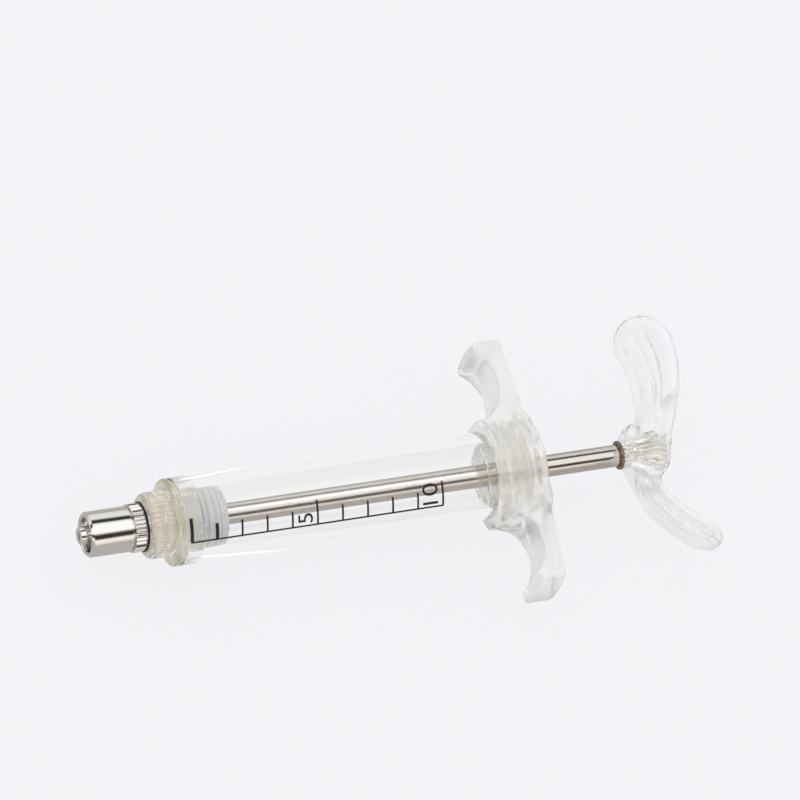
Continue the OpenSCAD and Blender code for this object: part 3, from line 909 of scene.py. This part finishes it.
# What polished parts mirror, by the angle from straight up towards the front, in degrees: long soft
# boxes that lie along the syringe, with dark gaps between them.
STRIPS = (
    (-120, (0.60, 0.59, 0.58)), (-88, (0.84, 0.83, 0.82)), (-60, (0.96, 0.95, 0.94)),
    (-51, (0.70, 0.68, 0.66)), (-46, (0.04, 0.035, 0.03)), (-31, (0.04, 0.035, 0.03)),
    (-26, (0.90, 0.89, 0.87)), (-16, (1.22, 1.21, 1.19)), (22, (1.22, 1.20, 1.16)),
    (30, (0.42, 0.35, 0.31)), (35, (0.04, 0.03, 0.025)), (52, (0.04, 0.032, 0.028)),
    (57, (0.70, 0.66, 0.60)), (61, (1.15, 1.12, 1.06)), (76, (1.00, 0.93, 0.84)),
    (88, (0.50, 0.45, 0.40)), (120, (0.40, 0.37, 0.34)),
)


def make_world():
    """Even bright dome for the clear parts; polished parts mirror the long soft boxes."""
    world = bpy.data.worlds.new("studio")
    bpy.context.scene.world = world
    world.use_nodes = True
    tree = world.node_tree
    tree.nodes.clear()
    out = tree.nodes.new("ShaderNodeOutputWorld")
    plain = tree.nodes.new("ShaderNodeBackground")
    plain.inputs["Color"].default_value = (*DOME, 1)
    plain.inputs["Strength"].default_value = 1.0
    shaped = tree.nodes.new("ShaderNodeBackground")
    place = tree.nodes.new("ShaderNodeTexCoord")
    split = tree.nodes.new("ShaderNodeSeparateXYZ")
    tree.links.new(place.outputs["Generated"], split.inputs[0])
    towards_front = math_node(tree, "MULTIPLY", split.outputs["Y"], -1.0)
    around = math_node(tree, "ARCTAN2", towards_front, split.outputs["Z"])
    share = tree.nodes.new("ShaderNodeMapRange")
    share.inputs["From Min"].default_value = -math.pi
    share.inputs["From Max"].default_value = math.pi
    tree.links.new(around, share.inputs["Value"])
    ramp = tree.nodes.new("ShaderNodeValToRGB")
    steps = ramp.color_ramp.elements
    while len(steps) < len(STRIPS):
        steps.new(0.5)
    for step, (angle, colour) in zip(steps, STRIPS):
        step.position = 0.5 + angle / 360
        step.color = (*colour, 1)
    tree.links.new(share.outputs["Result"], ramp.inputs[0])
    tree.links.new(ramp.outputs[0], shaped.inputs["Color"])
    pick = tree.nodes.new("ShaderNodeMixShader")
    tree.links.new(mirrored_in_metal(tree), pick.inputs[0])
    tree.links.new(plain.outputs[0], pick.inputs[1])
    tree.links.new(shaped.outputs[0], pick.inputs[2])
    tree.links.new(pick.outputs[0], out.inputs["Surface"])


def area_light(name, place, aim, size, power):
    """A soft rectangular light that faces aim and isn't mirrored itself."""
    light = bpy.data.lights.new(name, "AREA")
    light.shape = "RECTANGLE"
    light.size, light.size_y = size
    light.energy = power
    obj = bpy.data.objects.new(name, light)
    bpy.context.scene.collection.objects.link(obj)
    obj.location = place
    obj.rotation_euler = (Vector(aim) - Vector(place)).to_track_quat("-Z", "Y").to_euler()
    obj.visible_glossy = False


# The view: the axis leans away from the viewer by PITCH, the wings are turned about the axis by
# ROLL, and the axis rises to the right in the picture by SLOPE.
PITCH, ROLL, SLOPE = math.radians(19.57), math.radians(22.0), math.radians(8.45)
PICTURE_WIDTH = 0.1802
LENS, SENSOR = 1200.0, 36
# The middle of the picture: along the axis, and from there to the right and up in the picture
AIM_ALONG, AIM_RIGHT, AIM_UP = 0.070, 0.00687, 0.02085


def make_camera():
    """Camera on the photograph's line of sight."""
    axis = Vector((1, 0, 0))
    across = Vector((0, math.cos(ROLL), math.sin(ROLL)))
    towards = Vector((0, -math.sin(ROLL), math.cos(ROLL)))
    view = math.cos(PITCH) * towards - math.sin(PITCH) * axis
    along = math.cos(PITCH) * axis + math.sin(PITCH) * towards
    right = math.cos(SLOPE) * along - math.sin(SLOPE) * across
    up = math.sin(SLOPE) * along + math.cos(SLOPE) * across
    aim = AIM_ALONG * axis + AIM_RIGHT * right + AIM_UP * up
    data = bpy.data.cameras.new("camera")
    data.sensor_width = SENSOR
    data.lens = LENS
    distance = PICTURE_WIDTH * LENS / SENSOR
    data.clip_end = 50
    camera = bpy.data.objects.new("camera", data)
    bpy.context.scene.collection.objects.link(camera)
    turn = Matrix((right, up, view)).transposed().to_4x4()
    camera.matrix_world = Matrix.Translation(aim + view * distance) @ turn
    bpy.context.scene.camera = camera


make_nozzle()
make_collar()
make_front_rings()
make_front_cap()
make_barrel()
make_scale()
make_numerals()
make_grip()
make_rear_parts()
make_piston()
make_rod()
make_handle_insert()
make_handle()
make_floor()
make_world()
area_light("overhead", (0.05, 0.30, 0.9), (0.07, 0, 0), (1.2, 0.7), 1.6)
make_camera()
bpy.context.scene.view_settings.view_transform = "Standard"
# Light has to be able to run along inside the thick clear walls and come out again
bounces = 64
bpy.context.scene.cycles.max_bounces = bounces
bpy.context.scene.cycles.glossy_bounces = bounces
bpy.context.scene.cycles.transmission_bounces = bounces
